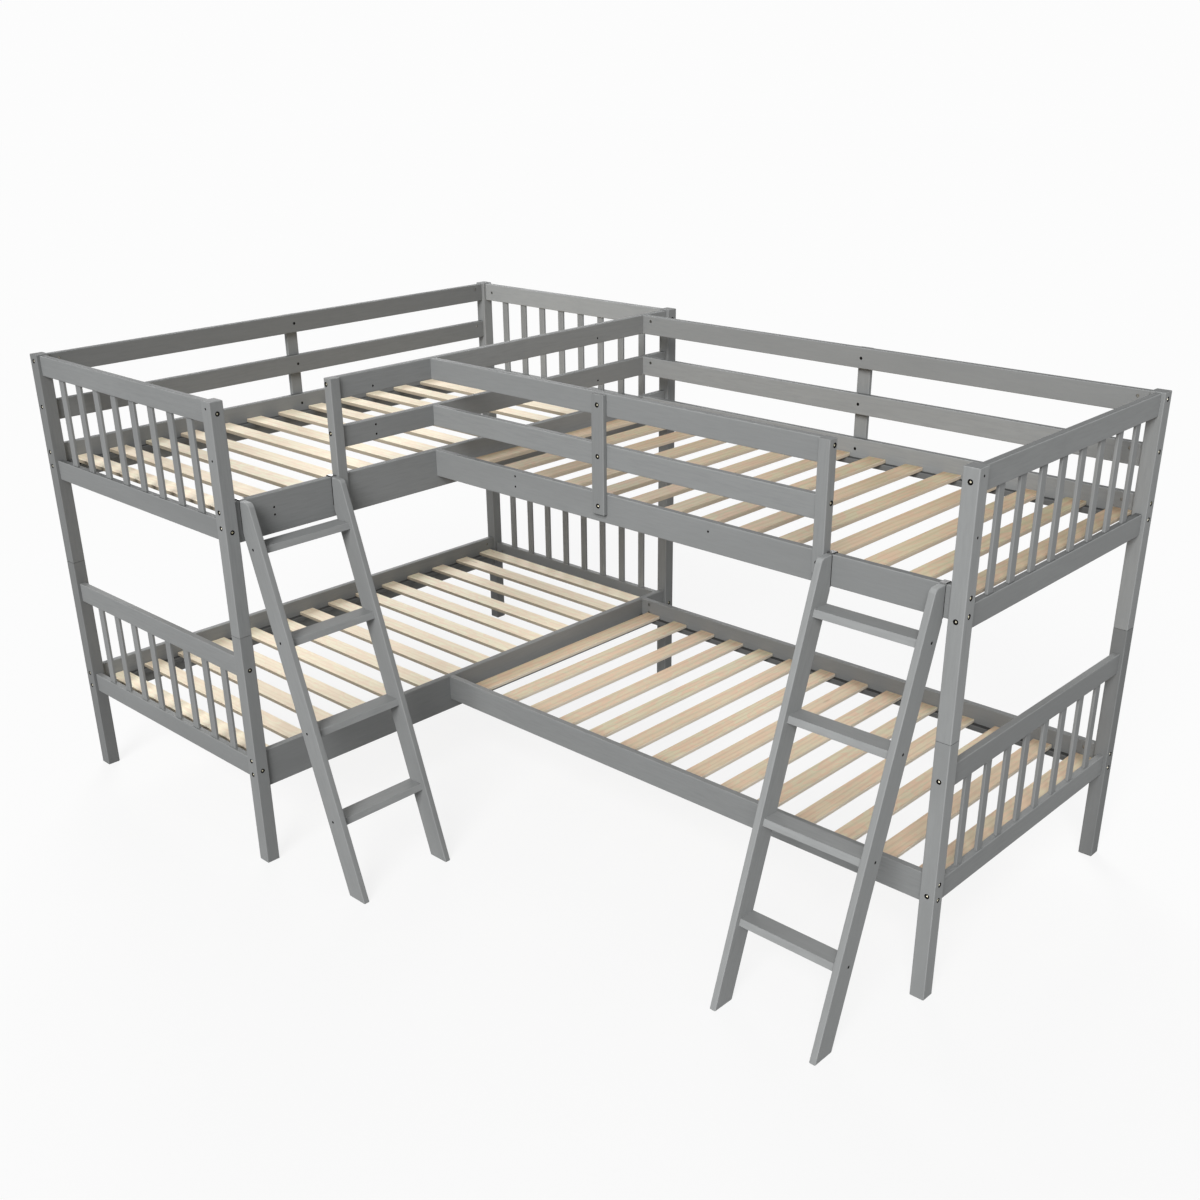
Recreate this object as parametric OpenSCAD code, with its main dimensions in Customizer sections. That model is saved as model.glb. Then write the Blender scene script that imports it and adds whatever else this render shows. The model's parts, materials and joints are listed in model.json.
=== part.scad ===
// L-shaped double bunk bed. A left bunk stands lengthwise, and a right bunk reaches out from
// its side. The right bunk has posts only at its far end: its rails butt on the left bunk's.
// Millimetres, +Z up, origin on the floor at the centre of the bed's outline.
// Front is -Y. Left bunk: length along Y. Right bunk: length along X.

/* [Overall] */
// Length of the left bunk over its posts
bunk_l = 2019; // [1900:1:2200]
// Width of each bunk over its posts
bunk_w = 1069; // [950:1:1400]
// Height of the posts
bunk_h = 1510; // [1450:1:1700]
// Reach of the right bunk beyond the posts of the left bunk
reach = 1951; // [1850:1:2150]
// Distance from the back of the left bunk forward to the back of the right bunk
back_step = 142; // [100:1:300]

/* [Posts] */
// Section of the square posts
post_w = 45; // [40:1:60]
// Width of the slant on a post's foot edges
foot_cut = 3; // [1:0.5:6]
// Height of the joint between lower and upper post
seam_z = 792; // [760:1:850]
// Height of the post tops above the rails
post_proud = 3; // [0:0.5:10]
// Radius on the long edges of posts and boards
edge_r = 3; // [1:0.5:5]
// Radius of the steel pin that joins two posts
pin_r = 5; // [4:0.5:8]
// Length of the steel pin
pin_l = 100; // [60:1:120]

/* [Side rails] */
// Thickness of every rail
rail_t = 22; // [18:1:28]
// Height of the upper bed rails' top edge
upper_bed_z = 1208; // [1150:1:1250]
// Height of the lower bed rails' top edge
lower_bed_z = 392; // [340:1:420]
// Depth of the left bunk's bed rails
left_rail_h = 126; // [110:1:150]
// Depth of the right bunk's bed rails
right_rail_h = 88; // [80:1:110]
// Depth of a guard rail
guard_h = 67; // [50:1:80]
// Gap between a bed rail and the middle guard rail above it
guard_gap = 81; // [65:1:105]

/* [End panels] */
// Depth of a panel's rails
panel_rail_h = 66; // [50:1:80]
// Height of the underside of the upper panel
upper_panel_z = 1090; // [1040:1:1110]
// Height of the top of the lower panel
lower_panel_top = 714; // [650:1:750]
// Height of the underside of the lower panel
lower_panel_z = 300; // [250:1:340]
// Number of spindles in a panel
spindle_n = 8; // [4:1:9]
// Width of a spindle
spindle_w = 29; // [20:1:40]
// Thickness of a spindle
spindle_t = 9.5; // [8:0.5:16]
// Distance between spindle centres
spindle_pitch = 109; // [95:1:112]
// Length of the tenon at each end of a spindle
tenon_l = 8; // [5:1:15]

/* [Slat decks] */
// Width of a slat
slat_w = 66; // [50:1:90]
// Thickness of a slat
slat_t = 13; // [10:1:20]
// Distance from slat to slat
slat_pitch = 140; // [110:1:160]
// Depth of the slats' top below the top of the bed rails
slat_depth = 50; // [30:1:60]
// Gap between a slat's end and the rail
slat_gap = 2; // [1:0.5:5]
// Width of the ledger under the slats
ledger_w = 22; // [16:1:30]
// Height of the ledger
ledger_h = 20; // [16:1:30]
// Gap from the ledger's ends to posts and rails
ledger_gap = 2; // [1:1:15]

/* [Guard stiles] */
// Width of a middle stile
mid_stile_w = 48; // [30:1:60]
// Thickness of a middle stile
mid_stile_t = 16; // [12:1:20]
// Lap of the middle stile over the bed rail
mid_stile_lap = 60; // [50:1:75]
// Depth of the middle stile's lowest bolt below the top of the bed rail
mid_stile_bolt_depth = 35; // [25:1:40]
// Distance of the left bunk's middle stile behind mid span
left_stile_off = 11; // [0:1:100]
// Distance of the right bunk's middle stiles from mid span towards the left bunk
right_stile_off = 7; // [0:1:100]
// Width of an end stile beside the ladder gate
end_stile_w = 36; // [30:1:45]
// Lap of the end stile's tongue over the bed rail
end_stile_lap = 60; // [40:1:75]

/* [Ladders] */
// Width of the gate for a ladder, from post to end stile
gate_w = 372; // [365:1:450]
// Width of a ladder over its stringers
ladder_w = 352; // [300:1:354]
// Gap between the ladder and the post
ladder_gap = 17.5; // [12:0.5:17.5]
// Thickness of a stringer
stringer_t = 20; // [18:1:25]
// Horizontal depth of a stringer
stringer_d = 75; // [65:1:90]
// Distance from the bed rail out to the back of the foot
foot_out = 361; // [300:1:420]
// Height of the upright cut on the stringer's back
back_cut_h = 98; // [80:1:120]
// Radius of the stringer's front top corner
stringer_r = 20; // [10:1:20]
// Number of rungs
rung_n = 4; // [3:1:4]
// Height of the first rung's top
rung_first = 255; // [200:1:260]
// Distance from rung to rung
rung_pitch = 274; // [230:1:276]
// Depth of a rung
rung_d = 57; // [45:1:62]
// Thickness of a rung
rung_t = 20; // [16:1:22]
// Depth of the rung's housing in the stringer
housing = 8; // [5:1:12]
// Thickness of the steel hook
hook_t = 3; // [2:0.5:4]
// Width of the steel hook
hook_w = 18; // [12:1:18]
// Length of the hook's lip behind the bed rail
hook_lip = 28; // [15:1:40]
// Length of the hook's plate on the stringer
hook_plate_l = 90; // [50:1:95]
// Outer radius of the hook's bends
hook_bend = 5; // [4.5:0.5:6]
// Clearance between the hook and the bed rail
hook_gap = 0.3; // [0.3:0.1:1]

/* [Fasteners] */
// Radius of a bolt
bolt_r = 3; // [3:0.5:4]
// Radius of a bolt's head
head_r = 5; // [4.5:0.5:6]
// Height of a bolt's head
head_h = 3; // [2:0.5:4]
// Depth of the head below the wood's face
head_sink = 1.5; // [0:0.5:2]
// Gap around a bolt's head in its pocket
head_gap = 2.5; // [0.5:0.5:3]
// Radius of a barrel nut
nut_r = 5; // [5:0.5:6]
// Length of a barrel nut
nut_l = 16; // [12:1:18]
// Distance of a barrel nut from the rail's end
nut_inset = 38; // [30:1:50]
// Distance of a guard bolt above the guard rail's centre
guard_bolt_up = 15; // [14:1:20]
// Distance of the bed rail's upper bolt below the rail's top
bed_bolt_drop = 24; // [18:1:30]
// Distance between the two bolts of a bed rail
bed_bolt_pitch = 48; // [45:1:50]
// Distance of the right bunk's upper corner bolt below the bed rail's top
corner_bolt_drop = 16; // [14:1:20]
// Distance between the two corner bolts of a bed rail
corner_bolt_pitch = 32; // [24:1:34]
// Radius of a rung screw's shank
screw_r = 2; // [1.5:0.5:2.5]
// Length of a rung screw
screw_l = 45; // [30:1:60]
// Clearance around fasteners, tenons and pins
clear = 0.15; // [0.1:0.05:0.3]

/* [Spare holes] */
// Radius of a spare drilled hole
spare_r = 3.5; // [3:0.5:4]
// Distance of the guard rails' spare holes from a guard rail's centre
spare_guard_off = 15; // [10:1:18]
// Distance of the guard rails' front spare holes from the front of the left bunk
spare_guard_front = 584; // [520:1:650]
// Distance of the guard rails' back spare holes from the back of the left bunk
spare_guard_back = 420; // [350:1:500]
// Distance of the left bed rail's spare holes from the front of the left bunk
spare_left_front = 181; // [150:1:220]
// Depth of the left bed rail's first spare hole below the top of the rail
spare_left_depth = 46; // [40:1:55]
// Distance between the left bed rail's spare holes
spare_left_pitch = 23; // [20:1:30]
// Distance of the right bed rail's two spare holes from the left bunk
spare_right_near = 366; // [300:1:450]
// Depth of the upper one of these two holes below the top of the rail
spare_right_depth = 18; // [14:1:24]
// Distance between these two holes
spare_right_pitch = 33; // [28:1:40]
// Distance of the right bed rail's single spare hole from the left bunk
spare_single_far = 1142; // [1050:1:1200]
// Depth of the single spare hole below the top of the rail
spare_single_depth = 29; // [20:1:40]

/* [Hidden] */
$fn = 32;
PAINT = [0.56, 0.57, 0.57];
PINE = [0.86, 0.74, 0.58];
STEEL = [0.30, 0.30, 0.31];
X = [1, 0, 0];
Y = [0, 1, 0];

// Rails and panels lie in the middle of the posts' section.
inset = (post_w - rail_t) / 2;
inner = inset + rail_t;
// A middle stile stands this far out beyond the posts.
stile_proud = max(0, mid_stile_t - inset);

// Faces of the two bunks.
x_left = -(bunk_w + reach - stile_proud) / 2;
x_mid = x_left + bunk_w;
x_end = x_mid + reach;
y_front = -bunk_l / 2;
y_back = bunk_l / 2;
y_right_back = y_back - back_step;
y_right_front = y_right_back - bunk_w;

rail_top = bunk_h - post_proud;
LEVELS = [lower_bed_z, upper_bed_z];
GUARD_TOPS = [rail_top, upper_bed_z + guard_gap + guard_h];
// Each panel level holds the underside of its low rail and the top of its top rail.
PANEL_Z = [[lower_panel_z, lower_panel_top], [upper_panel_z, rail_top]];

// Posts, by the low corner of their section.
FRONT_LEFT = [x_left, y_front];
FRONT_INNER = [x_mid - post_w, y_front];
BACK_LEFT = [x_left, y_back - post_w];
BACK_INNER = [x_mid - post_w, y_back - post_w];
END_FRONT = [x_end - post_w, y_right_front];
END_BACK = [x_end - post_w, y_right_back - post_w];

// Side rail planes: [low face, high face].
LEFT_X = [x_left + inset, x_left + inner];
RIGHT_X = [x_mid - inner, x_mid - inset];
FRONT_Y = [y_right_front + inset, y_right_front + inner];
BACK_Y = [y_right_back - inner, y_right_back - inset];
// Spans between the posts, and from the left bunk's rail to the end posts.
SPAN_Y = [y_front + post_w, y_back - post_w];
SPAN_X = [x_mid - inset, x_end - post_w];
// The ladder gates, and the end stiles that close the guard rails beside them.
gate_y = y_front + post_w + gate_w;
gate_x = x_end - post_w - gate_w;
STILE_Y = [gate_y, gate_y + end_stile_w];
STILE_X = [gate_x - end_stile_w, gate_x];
GUARD_Y = [STILE_Y[1], SPAN_Y[1]];
GUARD_X = [SPAN_X[0], STILE_X[0]];

// Heights of bolts: one in each panel rail, one in each guard rail, two in each bed rail.
PANEL_BOLT_Z = [for (p = PANEL_Z, z = [p[0] + panel_rail_h / 2, p[1] - panel_rail_h / 2]) z];
GUARD_BOLT_Z = [for (z = GUARD_TOPS) z - guard_h / 2 + guard_bolt_up];
BED_BOLT_Z = [for (z = LEVELS, k = [0, 1]) z - bed_bolt_drop - k * bed_bolt_pitch];
SIDE_BOLT_Z = concat(GUARD_BOLT_Z, BED_BOLT_Z);
// The corner bolts sit above the ledger, so that their heads can be reached.
CORNER_BOLT_Z = [for (z = LEVELS, k = [0, 1]) z - corner_bolt_drop - k * corner_bolt_pitch];

function mid(span) = (span[0] + span[1]) / 2;
post_mid = post_w / 2;

// A bolt: [point on the wood's face, direction, wood passed before the rail, side of its nut].
LEFT_PANEL_BOLTS = [
    for (y = [y_front + post_mid, y_back - post_mid], z = PANEL_BOLT_Z, s = [0, 1])
        [[s == 0 ? x_left : x_mid, y, z], (1 - 2 * s) * X, post_w, (y < 0 ? 1 : -1) * Y]
];
END_PANEL_BOLTS = [
    for (z = PANEL_BOLT_Z, s = [0, 1])
        [[x_end - post_mid, s == 0 ? y_right_front : y_right_back, z], (1 - 2 * s) * Y, post_w, -X]
];
LEFT_SIDE_BOLTS = [
    for (z = SIDE_BOLT_Z, s = [0, 1])
        [[mid(LEFT_X), s == 0 ? y_front : y_back, z], (1 - 2 * s) * Y, post_w, X]
];
INNER_SIDE_BOLTS = concat(
    [for (z = BED_BOLT_Z) [[mid(RIGHT_X), y_front, z], Y, post_w, -X]],
    [for (z = SIDE_BOLT_Z) [[mid(RIGHT_X), y_back, z], -Y, post_w, -X]]
);
RIGHT_SIDE_BOLTS = concat(
    [for (z = BED_BOLT_Z) [[x_end, mid(FRONT_Y), z], -X, post_w, Y]],
    [for (z = SIDE_BOLT_Z) [[x_end, mid(BACK_Y), z], -X, post_w, -Y]]
);
CORNER_BOLTS = [
    for (z = concat(GUARD_BOLT_Z, CORNER_BOLT_Z), s = [0, 1])
        [[RIGHT_X[0], s == 0 ? mid(FRONT_Y) : mid(BACK_Y), z], X, rail_t, (1 - 2 * s) * Y]
];
FRAME_BOLTS = concat(LEFT_PANEL_BOLTS, END_PANEL_BOLTS, LEFT_SIDE_BOLTS, INNER_SIDE_BOLTS,
    RIGHT_SIDE_BOLTS, CORNER_BOLTS);
STILE_END_BOLTS = concat(
    [for (z = GUARD_BOLT_Z) [[mid(RIGHT_X), STILE_Y[0], z], Y, end_stile_w, -X]],
    [for (z = GUARD_BOLT_Z) [[STILE_X[1], mid(FRONT_Y), z], -X, end_stile_w, Y]]
);
NUT_BOLTS = concat(FRAME_BOLTS, STILE_END_BOLTS);

// Middle stiles: [centre on the rail's outer face, direction into the wood].
MID_STILES = [
    [[LEFT_X[0], mid(SPAN_Y) + left_stile_off], X],
    [[mid(GUARD_X) - right_stile_off, FRONT_Y[0]], Y],
    [[mid(SPAN_X) - right_stile_off, BACK_Y[1]], -Y]
];
STILE_BOLT_Z = concat([for (z = GUARD_TOPS) z - guard_h / 2], [upper_bed_z - mid_stile_bolt_depth]);
THROUGH_BOLTS = [for (s = MID_STILES, z = STILE_BOLT_Z)
    [[s[0][0], s[0][1], z] - mid_stile_t * s[1], s[1]]];
// The end stile's tongue is as thick as the rail lies back from the posts' faces.
TONGUE_BOLTS = [
    [[x_mid, mid(STILE_Y), upper_bed_z - end_stile_lap / 2], -X],
    [[mid(STILE_X), y_right_front, upper_bed_z - end_stile_lap / 2], Y]
];
// Spare holes for other layouts: [point on the outer face, direction].
SPARE_GUARD_Z = [for (z = GUARD_TOPS) z - guard_h / 2 - spare_guard_off];
SPARE_FRONT_Z = concat(SPARE_GUARD_Z, [SPARE_GUARD_Z[1] + 2 * spare_guard_off]);
SPARE_LEFT_Z = [for (k = [0, 1]) upper_bed_z - spare_left_depth - k * spare_left_pitch];
SPARE_RIGHT_Z = [for (k = [0, 1]) upper_bed_z - spare_right_depth - k * spare_right_pitch];
SPARE_HOLES = concat(
    [for (z = GUARD_BOLT_Z) [[mid(RIGHT_X), y_front, z], Y]],
    [for (z = GUARD_BOLT_Z) [[x_end, mid(FRONT_Y), z], -X]],
    [for (z = SPARE_FRONT_Z) [[RIGHT_X[1], y_front + spare_guard_front, z], -X]],
    [for (z = SPARE_GUARD_Z) [[RIGHT_X[1], y_back - spare_guard_back, z], -X]],
    [for (z = SPARE_LEFT_Z) [[RIGHT_X[1], y_front + spare_left_front, z], -X]],
    [for (z = SPARE_RIGHT_Z) [[x_mid + spare_right_near, FRONT_Y[0], z], Y]],
    [[[x_mid + spare_single_far, FRONT_Y[0], upper_bed_z - spare_single_depth], Y]]
);

// Ladder profile, in its own frame: u out from the bed rail's face, z up.
stringer_back = hook_gap + hook_t;
cut_z = upper_bed_z - back_cut_h;
lean = (foot_out - stringer_back) / cut_z;
function back_u(z) = foot_out - lean * z;
function rung_top(i) = rung_first + i * rung_pitch;

// ---- shapes ----

// Rectangle with round corners, low corner at the origin.
module round_rect(w, h, r) {
    translate([r, 0]) square([w - 2 * r, h]);
    translate([0, r]) square([w, h - 2 * r]);
    for (x = [r, w - r], y = [r, h - r]) translate([x, y]) circle(r);
}

// Board between two corners, its long edges rounded.
module board(lo, hi, r = edge_r) {
    s = hi - lo;
    translate(lo) {
        if (s[0] >= s[1] && s[0] >= s[2])
            rotate([90, 0, 90]) linear_extrude(s[0]) round_rect(s[1], s[2], r);
        else if (s[1] >= s[2])
            translate([0, s[1], 0]) rotate([90, 0, 0])
                linear_extrude(s[1]) round_rect(s[0], s[2], r);
        else
            linear_extrude(s[2]) round_rect(s[0], s[1], r);
    }
}

// Turns local +Z to a direction along X or Y.
module aim(d) {
    rotate([d[1] == 0 ? 0 : -90 * d[1], d[0] == 0 ? 0 : 90 * d[0], 0]) children();
}

// Whether the stretch from p, of length l along d, meets the box lo..hi.
function meets(p, d, l, lo, hi) = min([for (k = [0:2])
    (min(p[k], p[k] + l * d[k]) < hi[k] && max(p[k], p[k] + l * d[k]) > lo[k]) ? 1 : 0]) == 1;

function bolt_l(b) = b[2] + nut_inset + 2 * nut_r;
function nut_at(b) = b[0] + (b[2] + nut_inset) * b[1] + rail_t / 2 * b[3];

module bolt_body(l, slack, pocket_gap) {
    cylinder(r = head_r + pocket_gap, h = head_sink + head_h);
    cylinder(r = bolt_r + slack, h = l);
}

// A bolt's hole, with a wider pocket for its head.
module bolt_hole(l) {
    bolt_body(l, 2 * clear, head_gap);
}

// A bolt with a hexagon socket in its head.
module bolt(l) {
    difference() {
        bolt_body(l, 0, 0);
        translate([0, 0, -1]) cylinder(r = head_r + 1, h = 1 + head_sink);
        cylinder(r = head_r / 2, h = head_sink + 2 * head_h / 3, $fn = 6);
    }
}

// Cuts every hole that passes through the box lo..hi.
module drilled(lo, hi) {
    difference() {
        children();
        for (b = NUT_BOLTS)
            if (meets(b[0], b[1], bolt_l(b), lo, hi)) {
                translate(b[0]) aim(b[1]) bolt_hole(bolt_l(b));
                translate(nut_at(b)) aim(-b[3]) cylinder(r = nut_r + clear, h = nut_l + 1);
            }
        for (b = THROUGH_BOLTS)
            if (meets(b[0], b[1], mid_stile_t + rail_t, lo, hi))
                translate(b[0]) aim(b[1]) {
                    bolt_hole(mid_stile_t + rail_t);
                    translate([0, 0, mid_stile_t + rail_t / 2 - clear])
                        cylinder(r = nut_r + clear, h = rail_t);
                }
        for (b = TONGUE_BOLTS)
            if (meets(b[0], b[1], inset + rail_t / 2, lo, hi))
                translate(b[0]) aim(b[1]) bolt_hole(inset + rail_t / 2 + 1);
        for (b = SPARE_HOLES)
            if (meets(b[0], b[1], rail_t, lo, hi))
                translate(b[0]) aim(b[1]) translate([0, 0, -1]) cylinder(r = spare_r, h = post_w + 2);
    }
}

module drilled_board(lo, hi) {
    drilled(lo, hi) board(lo, hi);
}

// ---- posts ----

// Cuts the four edges of a post's foot at 45 degrees.
module foot_cuts() {
    for (a = [0:90:270])
        rotate([0, 0, a]) translate([-post_w, -post_mid, foot_cut]) rotate([-45, 0, 0])
            translate([0, -foot_cut, -2 * foot_cut]) cube([2 * post_w, 4 * foot_cut, 2 * foot_cut]);
}

module post(corner, upper) {
    lo = [corner[0], corner[1], upper ? seam_z : 0];
    hi = [corner[0] + post_w, corner[1] + post_w, upper ? bunk_h : seam_z];
    color(PAINT) difference() {
        drilled_board(lo, hi);
        translate([corner[0] + post_mid, corner[1] + post_mid, 0]) {
            translate([0, 0, seam_z - pin_l / 2]) cylinder(r = pin_r + clear, h = pin_l);
            if (!upper) foot_cuts();
        }
    }
}

module front_left_post_lower() post(FRONT_LEFT, false);
module front_left_post_upper() post(FRONT_LEFT, true);
module front_inner_post_lower() post(FRONT_INNER, false);
module front_inner_post_upper() post(FRONT_INNER, true);
module back_left_post_lower() post(BACK_LEFT, false);
module back_left_post_upper() post(BACK_LEFT, true);
module back_inner_post_lower() post(BACK_INNER, false);
module back_inner_post_upper() post(BACK_INNER, true);
module end_front_post_lower() post(END_FRONT, false);
module end_front_post_upper() post(END_FRONT, true);
module end_back_post_lower() post(END_BACK, false);
module end_back_post_upper() post(END_BACK, true);

module post_pins() {
    color(STEEL) for (c = [FRONT_LEFT, FRONT_INNER, BACK_LEFT, BACK_INNER, END_FRONT, END_BACK])
        translate([c[0] + post_mid, c[1] + post_mid, seam_z - pin_l / 2]) cylinder(r = pin_r, h = pin_l);
}

// ---- end panels ----

// A panel lies along X from its corner; children are placed there, and the end panel is turned.
module panel_place(corner, turned) {
    translate([corner[0] + (turned ? post_w : 0), corner[1], 0]) rotate([0, 0, turned ? 90 : 0]) children();
}

// Spindle shapes of one level, with a slack for their mortises.
module spindle_row(level, slack) {
    z0 = PANEL_Z[level][0] + panel_rail_h - tenon_l - slack;
    z1 = PANEL_Z[level][1] - panel_rail_h + tenon_l + slack;
    for (i = [0:spindle_n - 1])
        translate([bunk_w / 2 + (i - (spindle_n - 1) / 2) * spindle_pitch - spindle_w / 2 - slack,
            post_mid - spindle_t / 2 - slack, z0])
            if (slack == 0)
                linear_extrude(z1 - z0) round_rect(spindle_w, spindle_t, spindle_t / 5);
            else
                cube([spindle_w + 2 * slack, spindle_t + 2 * slack, z1 - z0]);
}

function panel_lo(corner, turned, z) = turned
    ? [corner[0] + inset, corner[1] + post_w, z]
    : [corner[0] + post_w, corner[1] + inset, z];
function panel_hi(corner, turned, z) = turned
    ? [corner[0] + inner, corner[1] + bunk_w - post_w, z + panel_rail_h]
    : [corner[0] + bunk_w - post_w, corner[1] + inner, z + panel_rail_h];

module panel_rails(corner, turned, level) {
    color(PAINT) difference() {
        for (z = [PANEL_Z[level][0], PANEL_Z[level][1] - panel_rail_h])
            drilled_board(panel_lo(corner, turned, z), panel_hi(corner, turned, z));
        panel_place(corner, turned) spindle_row(level, clear);
    }
}

module panel_spindles(corner, turned, level) {
    color(PAINT) panel_place(corner, turned) spindle_row(level, 0);
}

module front_panel_lower_rails() panel_rails(FRONT_LEFT, false, 0);
module front_panel_upper_rails() panel_rails(FRONT_LEFT, false, 1);
module back_panel_lower_rails() panel_rails(BACK_LEFT, false, 0);
module back_panel_upper_rails() panel_rails(BACK_LEFT, false, 1);
module end_panel_lower_rails() panel_rails(END_FRONT, true, 0);
module end_panel_upper_rails() panel_rails(END_FRONT, true, 1);
module front_panel_lower_spindles() panel_spindles(FRONT_LEFT, false, 0);
module front_panel_upper_spindles() panel_spindles(FRONT_LEFT, false, 1);
module back_panel_lower_spindles() panel_spindles(BACK_LEFT, false, 0);
module back_panel_upper_spindles() panel_spindles(BACK_LEFT, false, 1);
module end_panel_lower_spindles() panel_spindles(END_FRONT, true, 0);
module end_panel_upper_spindles() panel_spindles(END_FRONT, true, 1);

// ---- side rails ----

module rail_along_y(xs, ys, top, h) {
    color(PAINT) drilled_board([xs[0], ys[0], top - h], [xs[1], ys[1], top]);
}

module rail_along_x(xs, ys, top, h) {
    color(PAINT) drilled_board([xs[0], ys[0], top - h], [xs[1], ys[1], top]);
}

module left_outer_bed_rail_lower() rail_along_y(LEFT_X, SPAN_Y, lower_bed_z, left_rail_h);
module left_outer_bed_rail_upper() rail_along_y(LEFT_X, SPAN_Y, upper_bed_z, left_rail_h);
module left_inner_bed_rail_lower() rail_along_y(RIGHT_X, SPAN_Y, lower_bed_z, left_rail_h);
module left_inner_bed_rail_upper() rail_along_y(RIGHT_X, SPAN_Y, upper_bed_z, left_rail_h);
module right_front_bed_rail_lower() rail_along_x(SPAN_X, FRONT_Y, lower_bed_z, right_rail_h);
module right_front_bed_rail_upper() rail_along_x(SPAN_X, FRONT_Y, upper_bed_z, right_rail_h);
module right_back_bed_rail_lower() rail_along_x(SPAN_X, BACK_Y, lower_bed_z, right_rail_h);
module right_back_bed_rail_upper() rail_along_x(SPAN_X, BACK_Y, upper_bed_z, right_rail_h);

module left_outer_guard_rails() for (z = GUARD_TOPS) rail_along_y(LEFT_X, SPAN_Y, z, guard_h);
module left_inner_guard_rails() for (z = GUARD_TOPS) rail_along_y(RIGHT_X, GUARD_Y, z, guard_h);
module right_front_guard_rails() for (z = GUARD_TOPS) rail_along_x(GUARD_X, FRONT_Y, z, guard_h);
module right_back_guard_rails() for (z = GUARD_TOPS) rail_along_x(SPAN_X, BACK_Y, z, guard_h);

// ---- guard stiles ----

// Flat stiles on the outside of the guard rails, at mid span.
module guard_middle_stiles() {
    z0 = upper_bed_z - mid_stile_lap;
    color(PAINT) for (s = MID_STILES) {
        side = [s[1][1], s[1][0], 0];
        a = concat(s[0], [z0]) - mid_stile_w / 2 * side;
        b = concat(s[0], [rail_top - post_proud]) + mid_stile_w / 2 * side - mid_stile_t * s[1];
        drilled_board([min(a[0], b[0]), min(a[1], b[1]), a[2]], [max(a[0], b[0]), max(a[1], b[1]), b[2]]);
    }
}

// Square stiles beside the gates. They cap the guard rails' ends, and a tongue laps the bed rail.
module end_stile(lo, hi, rail_lo, rail_hi) {
    drilled(lo, hi) difference() {
        board(lo, hi);
        translate([rail_lo[0], rail_lo[1], lo[2] - 1]) cube([rail_hi[0] - rail_lo[0],
            rail_hi[1] - rail_lo[1], upper_bed_z - lo[2] + 1]);
    }
}

module guard_end_stiles() {
    z0 = upper_bed_z - end_stile_lap;
    color(PAINT) {
        end_stile([RIGHT_X[0], STILE_Y[0], z0], [x_mid, STILE_Y[1], rail_top],
            [RIGHT_X[0] - 1, STILE_Y[0] - 1], [RIGHT_X[1], STILE_Y[1] + 1]);
        end_stile([STILE_X[0], y_right_front, z0], [STILE_X[1], FRONT_Y[1], rail_top],
            [STILE_X[0] - 1, FRONT_Y[0]], [STILE_X[1] + 1, FRONT_Y[1] + 1]);
    }
}

// ---- slat decks ----

// A ledger, with holes through which barrel nuts reach the rail behind it.
module ledger(lo, hi) {
    difference() {
        board(lo, hi);
        for (b = NUT_BOLTS)
            if (meets(nut_at(b), b[3], ledger_w, lo, hi))
                translate(nut_at(b) - b[3]) aim(b[3]) cylinder(r = nut_r + clear, h = ledger_w + 2);
    }
}

module left_ledgers(level) {
    top = LEVELS[level] - slat_depth - slat_t;
    color(PAINT) for (x = [LEFT_X[1], RIGHT_X[0] - ledger_w])
        ledger([x, SPAN_Y[0] + ledger_gap, top - ledger_h], [x + ledger_w, SPAN_Y[1] - ledger_gap, top]);
}

module right_ledgers(level) {
    top = LEVELS[level] - slat_depth - slat_t;
    color(PAINT) for (y = [FRONT_Y[1], BACK_Y[0] - ledger_w])
        ledger([SPAN_X[0] + ledger_gap, y, top - ledger_h], [SPAN_X[1] - ledger_gap, y + ledger_w, top]);
}

// As many slats as the space between the posts holds. The left deck lies centred in it, and the
// right one against the end posts.
function slat_count(span) = floor((span[1] - span[0] - 2 * slat_gap - slat_w) / slat_pitch) + 1;
function deck_l(span) = (slat_count(span) - 1) * slat_pitch + slat_w;
first_slat_y = mid(SPAN_Y) - deck_l(SPAN_Y) / 2;
first_slat_x = SPAN_X[1] - slat_gap - deck_l(SPAN_X);

module left_slats(level) {
    z1 = LEVELS[level] - slat_depth;
    color(PINE) for (i = [0:slat_count(SPAN_Y) - 1])
        board([LEFT_X[1] + slat_gap, first_slat_y + i * slat_pitch, z1 - slat_t],
            [RIGHT_X[0] - slat_gap, first_slat_y + i * slat_pitch + slat_w, z1]);
}

module right_slats(level) {
    z1 = LEVELS[level] - slat_depth;
    color(PINE) for (i = [0:slat_count(SPAN_X) - 1])
        board([first_slat_x + i * slat_pitch, FRONT_Y[1] + slat_gap, z1 - slat_t],
            [first_slat_x + i * slat_pitch + slat_w, BACK_Y[0] - slat_gap, z1]);
}

module left_ledgers_lower() left_ledgers(0);
module left_ledgers_upper() left_ledgers(1);
module right_ledgers_lower() right_ledgers(0);
module right_ledgers_upper() right_ledgers(1);
module left_slats_lower() left_slats(0);
module left_slats_upper() left_slats(1);
module right_slats_lower() right_slats(0);
module right_slats_upper() right_slats(1);

// ---- ladders ----

// Each ladder hangs on a bed rail inside its gate. Local X runs out from the rail's face.
module left_ladder_place() {
    translate([RIGHT_X[1], y_front + post_w + ladder_gap, 0]) children();
}

module right_ladder_place() {
    translate([x_end - post_w - ladder_gap - ladder_w, FRONT_Y[0], 0]) rotate([0, 0, -90]) children();
}

// Points of an arc around c.
function arc(c, r, from, to) = [for (k = [0:arc_steps])
    let (a = from + (to - from) * k / arc_steps) c + r * [cos(a), sin(a)]];
arc_steps = 8;

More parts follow.
